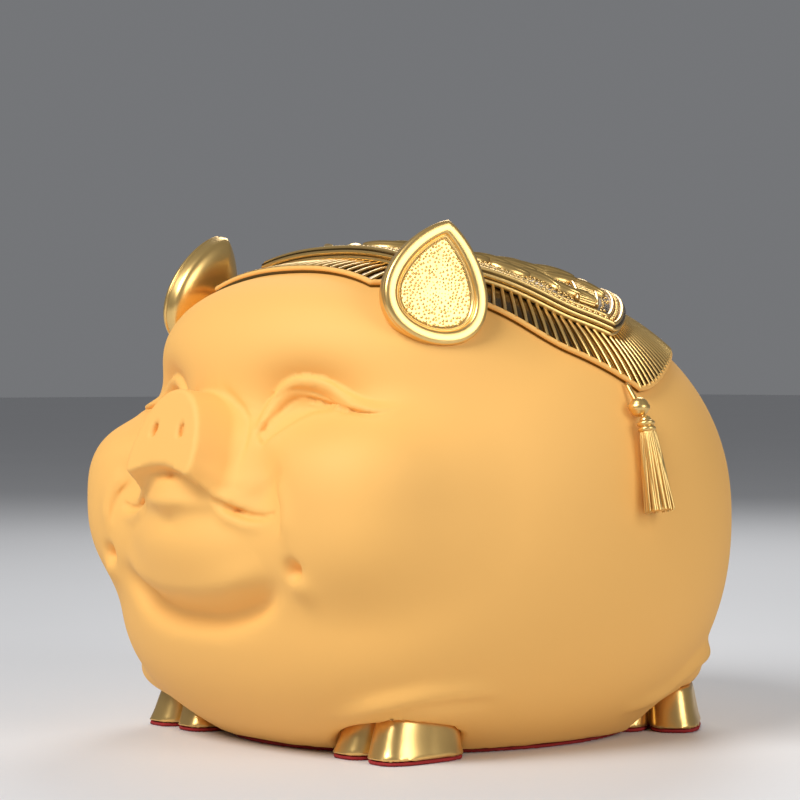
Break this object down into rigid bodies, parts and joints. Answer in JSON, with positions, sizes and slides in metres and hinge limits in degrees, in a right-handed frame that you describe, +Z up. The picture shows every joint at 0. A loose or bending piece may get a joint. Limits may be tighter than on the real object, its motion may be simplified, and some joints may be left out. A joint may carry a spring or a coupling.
{
  "type": "still bank",
  "caption": "Hollow standing pig coin bank with a slotted saddle pad, ribbed saddle blanket, tassels, ears, hooves, closed base, felt sheet and pull-out rubber stopper.",
  "frame": {"origin": "middle of the box round the whole object, at the underside of the felt that it stands on", "axes": "+Z up, -Y towards the nose, +Y towards the tail, +X towards the pig's left side"},
  "size_m": [0.2158, 0.2312, 0.1731],
  "materials": {
    "lacquered_body": "fine matt gold lacquer over cast resin",
    "gold_plating": "polished gold plating",
    "red_felt": "flocked felt",
    "black_rubber": "soft moulded rubber"
  },
  "bodies": {
    "bank": {"body_shell": "lacquered_body", "base_plate": "lacquered_body", "base_felt": "red_felt", "left_ear": "gold_plating", "right_ear": "gold_plating", "front_left_hoof": "gold_plating", "front_right_hoof": "gold_plating", "rear_left_hoof": "gold_plating", "rear_right_hoof": "gold_plating", "saddle_blanket": "gold_plating", "saddle_pad": "gold_plating", "left_tassel_bead": "gold_plating", "right_tassel_bead": "gold_plating", "left_tassel": "gold_plating", "right_tassel": "gold_plating", "tail": "lacquered_body"},
    "stopper": {"stopper": "black_rubber"}
  },
  "joints": [
    {"name": "stopper_pull", "type": "slide", "parent": "bank", "child": "stopper", "axis": [0, 0, -1], "range_m": [0, 0.03]}
  ]
}
